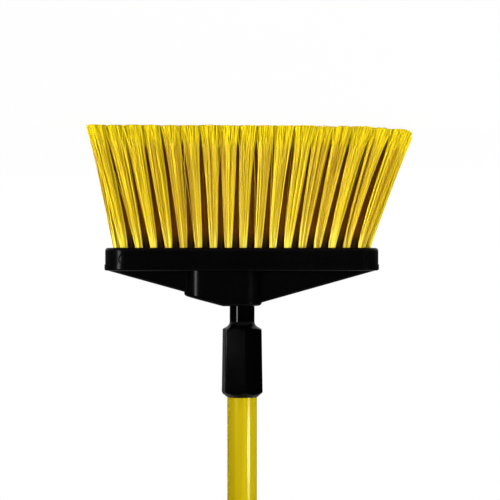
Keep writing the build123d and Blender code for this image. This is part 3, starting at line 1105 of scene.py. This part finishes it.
@dataclass
class Handle:
    """The screw-in handle: ferrule, coated tube, end plug and hang-up loop."""

    wall: float = 0.9 * MM
    edge: float = 0.25 * MM
    edge_steps: int = 3
    sides: int = 96
    stations: int = 25

    def profile(self) -> np.ndarray:
        """The tube's wall cut along the axis, with rounded ends.

        Returns:
            Radius and height of each point, counter-clockwise.
        """
        low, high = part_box("handle_tube")
        outer = (high.x - low.x) / 2
        inner = outer - self.wall
        steps = [low.z + (high.z - low.z) * step / self.stations for step in range(1, self.stations)]
        points = [(outer, z) for z in steps]
        corners = ((outer, high.z), (inner, high.z), (inner, low.z), (outer, low.z))
        for quarter, (r, z) in enumerate(corners):
            centre = r - self.edge if r == outer else r + self.edge
            level = z - self.edge if z == high.z else z + self.edge
            for step in range(self.edge_steps + 1):
                angle = (quarter + step / self.edge_steps) * math.pi / 2
                points.append((centre + self.edge * math.cos(angle), level + self.edge * math.sin(angle)))
        return np.array(points)

    def tube(self) -> bpy.types.Mesh:
        """The tube: its profile turned round the handle's axis.

        Returns:
            The mesh.
        """
        profile = self.profile()
        sides = self.sides
        angle = np.arange(sides) * 2 * math.pi / sides
        flat = np.stack([np.cos(angle), np.sin(angle)], 1)
        points = np.empty((sides, len(profile), 3))
        points[:, :, :2] = profile[None, :, :1] * flat[:, None]
        points[:, :, 2] = profile[None, :, 1]
        corner = np.arange(sides * len(profile)).reshape(sides, -1)
        beside = np.roll(corner, -1, 0)
        faces = np.stack([corner, beside, np.roll(beside, -1, 1), np.roll(corner, -1, 1)], -1)
        return mesh_from_quads("tube_wall", points.reshape(-1, 3), faces.reshape(-1, 4))

    def build(self) -> None:
        """Dresses the handle's nodes."""
        dress("threaded_ferrule", FERRULE_PLASTIC.material())
        add_piece(self.tube(), YELLOW_COAT.material(), Body.HANDLE, "handle_tube")
        cap = CAP_PLASTIC.material()
        dress("end_plug", cap)
        dress("hang_loop", cap)


@dataclass(frozen=True)
class Softbox:
    """One soft lamp, aimed at a height on the handle's axis; one that isn't mirrored adds no highlights."""

    name: str
    azimuth: float
    distance: float
    low: float
    high: float
    width: float
    power: float
    aim: float
    mirrored: bool = False
    shape: LampShape = LampShape.PANEL
    spread: float = 180.0

    def build(self) -> None:
        """Hangs the lamp between its low and high edges."""
        lamp = bpy.data.lights.new(self.name, "AREA")
        lamp.shape = self.shape.value
        lamp.size = self.width
        lamp.size_y = self.high - self.low
        lamp.energy = self.power
        lamp.spread = math.radians(self.spread)
        stand = put(self.name, lamp)
        stand.visible_glossy = self.mirrored
        turn = math.radians(self.azimuth)
        place = Vector((math.sin(turn), -math.cos(turn), 0)) * self.distance
        place.z = (self.low + self.high) / 2
        stand.location = place
        stand.rotation_mode = "QUATERNION"
        stand.rotation_quaternion = (UP * self.aim - place).to_track_quat("-Z", "Y")
        LOG.info("lamp %s at %s", self.name, tuple(round(x, 3) for x in place))


LAMPS = (
    Softbox(
        name="left_strip", azimuth=50.4, distance=1.5, low=0.04, high=0.25,
        width=0.22, power=11.0, aim=0.15, mirrored=True,
    ),
    Softbox(
        name="right_dish", azimuth=-48.6, distance=1.5, low=0.365, high=0.535,
        width=0.65, power=4.1, aim=0.30, mirrored=True, shape=LampShape.DISH,
    ),
    Softbox(
        name="left_softbox", azimuth=54.0, distance=1.2, low=0.0, high=0.30,
        width=0.6, power=0.56, aim=0.04, spread=30.0,
    ),
    Softbox(
        name="right_softbox", azimuth=-60.0, distance=1.3, low=0.15, high=0.65,
        width=0.6, power=12.4, aim=0.25,
    ),
    Softbox(
        name="front_softbox", azimuth=4.0, distance=1.8, low=0.0, high=0.50,
        width=0.6, power=3.5, aim=0.08,
    ),
    Softbox(
        name="top_softbox", azimuth=15.0, distance=0.8, low=2.0, high=2.6,
        width=1.6, power=24.0, aim=0.10,
    ),
    Softbox(
        name="back_softbox", azimuth=195.0, distance=1.8, low=0.2, high=1.6,
        width=1.4, power=26.0, aim=0.45,
    ),
)


@dataclass
class Studio:
    """Pale floor, soft lamps, white surround and the camera."""

    lamps: tuple[Softbox, ...] = LAMPS
    floor_half: float = 60.0
    floor_colour: Colour = grey(0.86)
    floor_white: float = 0.95
    floor_reach: Span = (0.35, 1.6)
    fill: float = 0.09
    drape_radius: float = 2.8
    drape_height: float = 3.2
    drape_turn: float = 165.0
    drape_steps: int = 64
    drape_front: Colour = grey(0.004)
    drape_back: Colour = grey(0.065)
    drape_fade: Span = (1.0, 3.2)
    frame_pixels: float = 500.0
    focal_pixels: float = 1686.0
    sensor: float = 36.0
    camera_azimuth: float = 3.4
    camera_distance: float = 1.440
    camera_roll: float = 180.0
    aim_across: float = -6.75 * MM
    aim_z: float = 104.9 * MM

    def white_for_eye(self, graph: FinishGraph) -> Wire:
        """1 for rays from the camera, a mirror or glass, and 0 for the rest."""
        camera = graph.node("ShaderNodeLightPath", output="Is Camera Ray")
        return camera.most(camera.beside("Is Glossy Ray")).most(camera.beside("Is Transmission Ray"))

    def stage(self, mesh: bpy.types.Mesh, material: bpy.types.Material) -> bpy.types.Object:
        """Puts a piece of the set in the scene.

        Args:
            mesh: Its mesh.
            material: Its finish.

        Returns:
            The object.
        """
        mesh.materials.append(material)
        made = put(mesh.name, mesh)
        LOG.info("set %s", made.name)
        return made

    def build_floor(self) -> None:
        """Lays the floor under the bristle tips; it reads as near white and still takes the shadow."""
        half = self.floor_half
        corners = [(-half, -half, 0), (half, -half, 0), (half, half, 0), (-half, half, 0)]
        mesh = bpy.data.meshes.new("floor")
        mesh.from_pydata(corners, [], [(0, 1, 2, 3)])
        material, graph = new_graph("pale_floor")
        matt = graph.node("ShaderNodeBsdfDiffuse", inputs={"Color": rgba(self.floor_colour)})
        bright = graph.node("ShaderNodeEmission", inputs={"Color": rgba(WHITE), "Strength": 1.0})
        span = graph.node("ShaderNodeVectorMath", {"operation": "LENGTH"}, {0: graph.place()}, "Value")
        white = self.floor_white + span.ramp(*self.floor_reach) * (1.0 - self.floor_white)
        share = self.white_for_eye(graph) * white
        both = graph.node("ShaderNodeMixShader", inputs={0: share, 1: matt, 2: bright})
        graph.node("ShaderNodeOutputMaterial", inputs={"Surface": both})
        self.stage(mesh, material)

    def build_drape(self) -> None:
        """Hangs a cloth round the set, dark at eye level and white at the top, which only gloss shows."""
        turns = np.radians(np.linspace(-self.drape_turn, self.drape_turn, self.drape_steps + 1))
        low = [(self.drape_radius * math.sin(a), -self.drape_radius * math.cos(a), 0.0) for a in turns]
        high = [(x, y, self.drape_height) for x, y, _ in low]
        count = len(low)
        faces = [(i, i + 1, count + i + 1, count + i) for i in range(count - 1)]
        mesh = bpy.data.meshes.new("drape")
        mesh.from_pydata(low + high, [], faces)
        material, graph = new_graph("dark_cloth")
        back = graph.node("ShaderNodeSeparateXYZ", inputs={0: graph.place()}, output="Y")
        rise = back.beside("Z").ramp(*self.drape_fade)
        round_set = graph.blend(back.ramp(0.0, self.drape_radius), self.drape_front, self.drape_back)
        cloth = graph.blend(rise, round_set, WHITE)
        glow = graph.node("ShaderNodeEmission", inputs={"Color": cloth, "Strength": 1.0})
        graph.node("ShaderNodeOutputMaterial", inputs={"Surface": glow})
        drape = self.stage(mesh, material)
        drape.visible_camera = drape.visible_diffuse = drape.visible_shadow = False

    def build_surround(self) -> None:
        """Sets an even white surround that lights the object less than it shows."""
        world = bpy.data.worlds.new("surround")
        world.use_nodes = True
        bpy.context.scene.world = world
        graph = FinishGraph(world.node_tree)
        strength = self.fill + self.white_for_eye(graph) * (1.0 - self.fill)
        sky = graph.node("ShaderNodeBackground", inputs={"Color": rgba(WHITE), "Strength": strength})
        graph.node("ShaderNodeOutputWorld", inputs={"Surface": sky})

    def build_camera(self) -> None:
        """Stands the camera in front of the head, turned over so that the bristles point up in its view."""
        turn = math.radians(self.camera_azimuth)
        across = Vector((math.cos(turn), math.sin(turn), 0))
        back = Vector((math.sin(turn), -math.cos(turn), 0))
        lens = bpy.data.cameras.new("camera")
        lens.sensor_width = self.sensor
        lens.lens = self.focal_pixels / self.frame_pixels * self.sensor
        camera = put("camera", lens)
        place = across * self.aim_across + UP * self.aim_z + back * self.camera_distance
        upright = Matrix((across, UP, back)).transposed()
        roll = Matrix.Rotation(math.radians(self.camera_roll), 3, "Z")
        camera.matrix_world = Matrix.LocRotScale(place, upright @ roll, None)
        bpy.context.scene.camera = camera

    def build(self) -> None:
        """Makes the whole studio."""
        self.build_floor()
        self.build_drape()
        self.build_surround()
        for lamp in self.lamps:
            lamp.build()
        self.build_camera()
        bpy.context.scene.view_settings.view_transform = "Standard"


def main() -> None:
    """Builds the broom's pieces and the studio in order."""
    logging.basicConfig(level=logging.INFO, format="%(message)s")
    plan = TuftPlan()
    Head().build()
    Handle().build()
    BlockFace(plan).build()
    BristleFan(plan).build()
    Studio().build()


if __name__ == "__main__":
    main()
